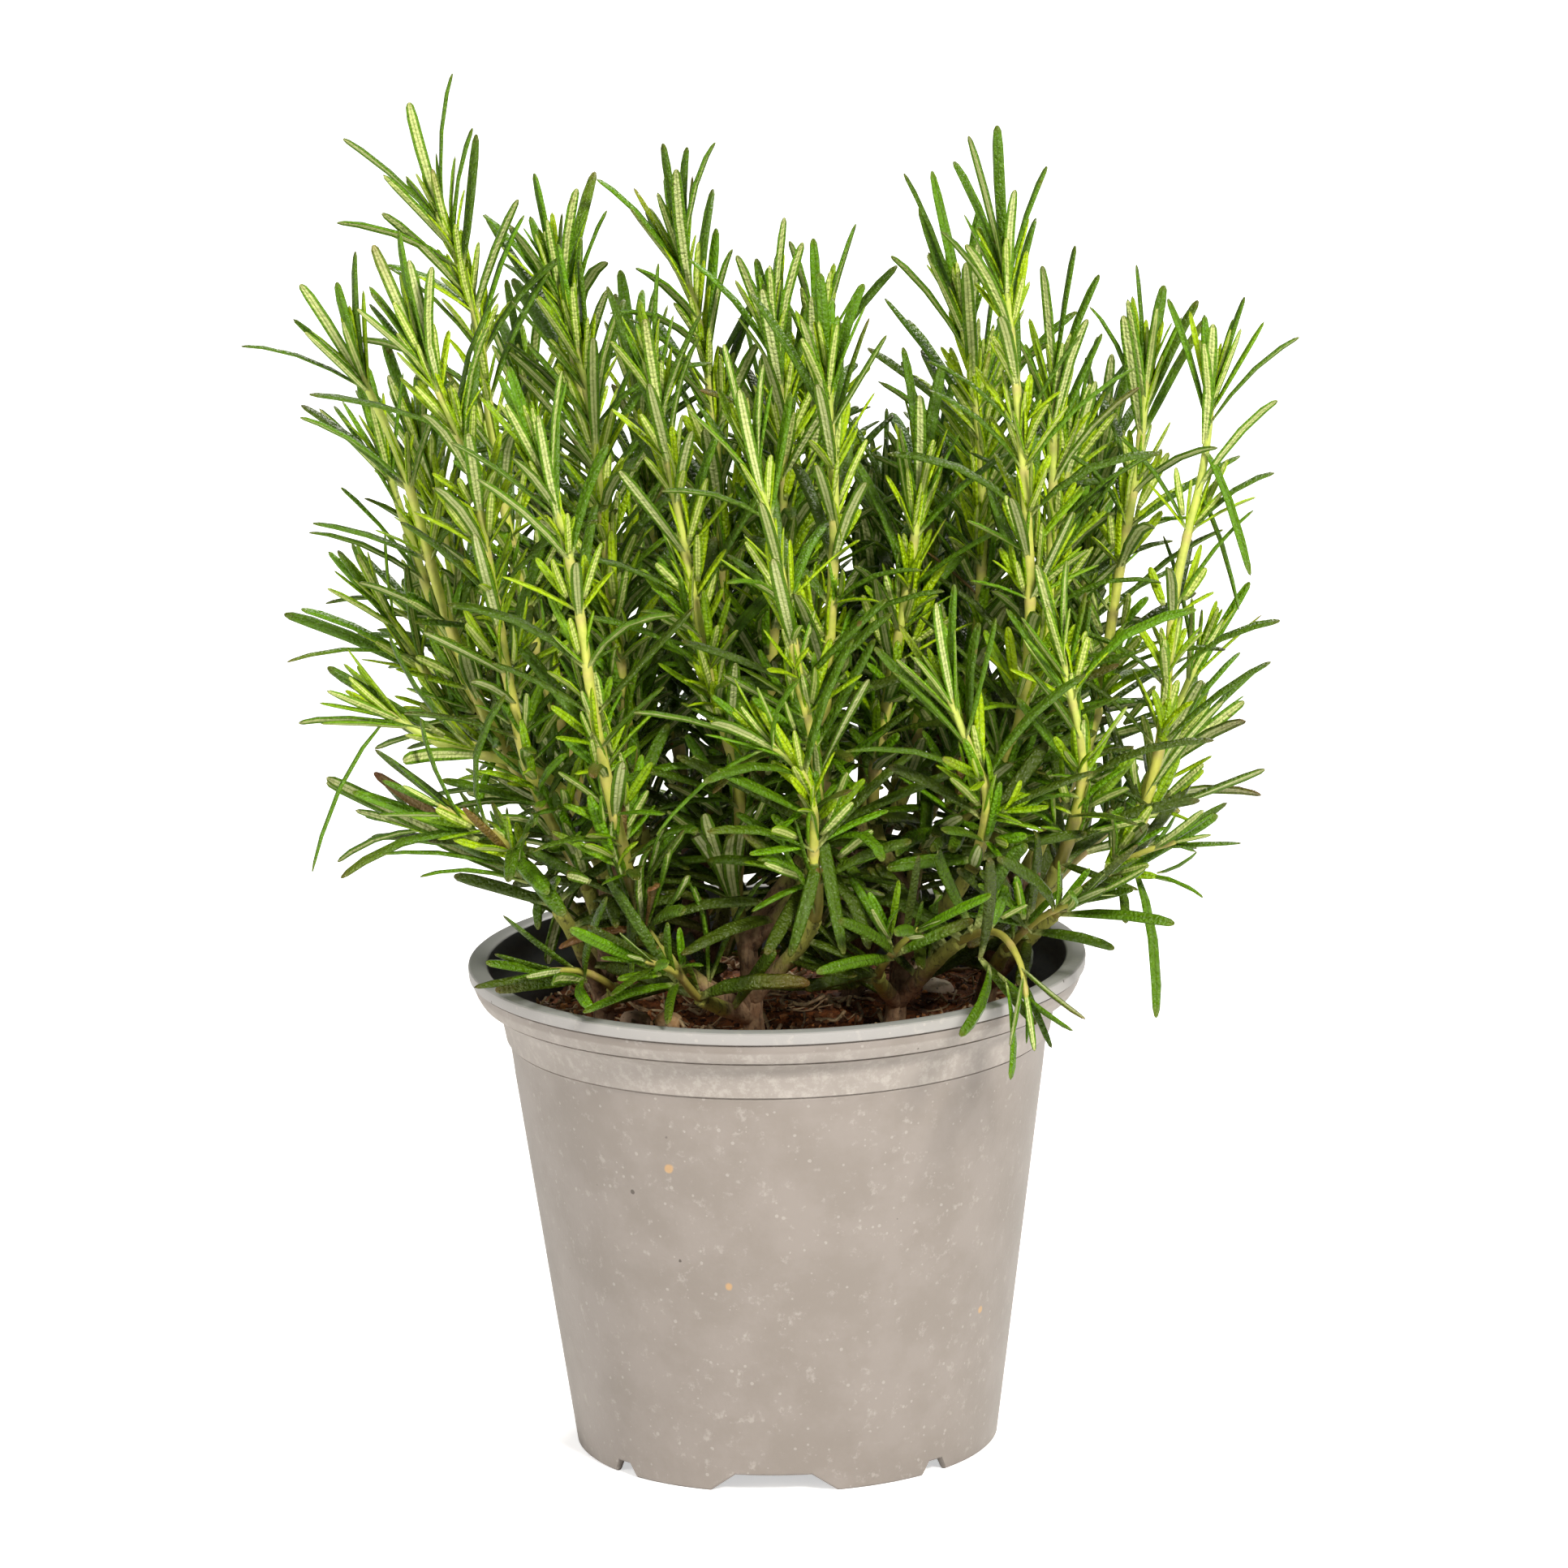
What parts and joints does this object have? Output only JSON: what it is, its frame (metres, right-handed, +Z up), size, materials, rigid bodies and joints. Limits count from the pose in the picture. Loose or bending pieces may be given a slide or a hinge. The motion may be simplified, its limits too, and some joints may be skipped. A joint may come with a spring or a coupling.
{
  "type": "potted rosemary plant",
  "caption": "Rosemary herb with narrow needle-like leaves on upright stems, rooted in soil in a tapered grey plastic nursery pot with a flared rim and a notched foot.",
  "frame": {"origin": "middle of the pot's foot, on the surface that the pot stands on", "axes": "+Z up along the pot's axis, -Y towards the front as pictured, +X to the right"},
  "size_m": [0.219, 0.172, 0.2925],
  "materials": {
    "pot": "satin, scuffed",
    "soil": "crumbly, matte",
    "pebble": "matte",
    "bark": "rough, matte",
    "leaf": "waxy, semi-gloss"
  },
  "bodies": {
    "root": {"pot": "pot", "soil": "soil", "pebble_tan": "pebble", "pebble_brown": "pebble", "pebble_pink": "pebble", "woody_cutting_left": "bark", "woody_cutting_front": "bark", "woody_cutting_front_right": "bark", "woody_cutting_back_left": "bark", "woody_cutting_back_right": "bark", "woody_cutting_right": "bark", "leafy_stem_left_tall": "leaf", "leafy_stem_left_front": "leaf", "leafy_stem_left_outer": "leaf", "leafy_stem_left_drooping": "leaf", "leafy_stem_left_low": "leaf", "leafy_stem_left_back": "leaf", "leafy_stem_left_back_low": "leaf", "low_sprig_left": "leaf", "leafy_stem_left_inner": "leaf", "leafy_stem_middle_tall": "leaf", "leafy_stem_middle_front": "leaf", "leafy_stem_front_left": "leaf", "leafy_stem_left_middle": "leaf", "leafy_stem_front_middle": "leaf", "leafy_stem_middle_right": "leaf", "leafy_stem_middle_back": "leaf", "leafy_stem_middle": "leaf", "leafy_stem_right_tall": "leaf", "leafy_stem_right_back": "leaf", "leafy_stem_right_middle": "leaf", "leafy_stem_right_inner": "leaf", "leafy_stem_right_outer": "leaf", "leafy_stem_right_centre": "leaf", "leafy_stem_front_right_short": "leaf", "leafy_stem_right_front_short": "leaf", "leafy_stem_front_pale": "leaf", "low_sprig_front_left": "leaf", "low_sprig_front": "leaf", "low_sprig_over_rim": "leaf", "low_sprig_right": "leaf", "leafy_stem_right_low": "leaf", "leafy_stem_right_side": "leaf", "leafy_stem_right_side_back": "leaf", "leafy_stem_right_back_low": "leaf", "leafy_stem_back_right_tall": "leaf", "leafy_stem_right_centre_back": "leaf", "leafy_stem_back_right_middle": "leaf", "leafy_stem_back_right_short": "leaf", "leafy_stem_back_middle": "leaf", "leafy_stem_back_middle_short": "leaf", "low_sprig_back": "leaf", "low_sprig_back_right": "leaf", "leafy_stem_back_left_tall": "leaf", "leafy_stem_back_left_middle": "leaf", "leafy_stem_back_left_outer": "leaf", "leafy_stem_back_left_short": "leaf"}
  },
  "joints": []
}
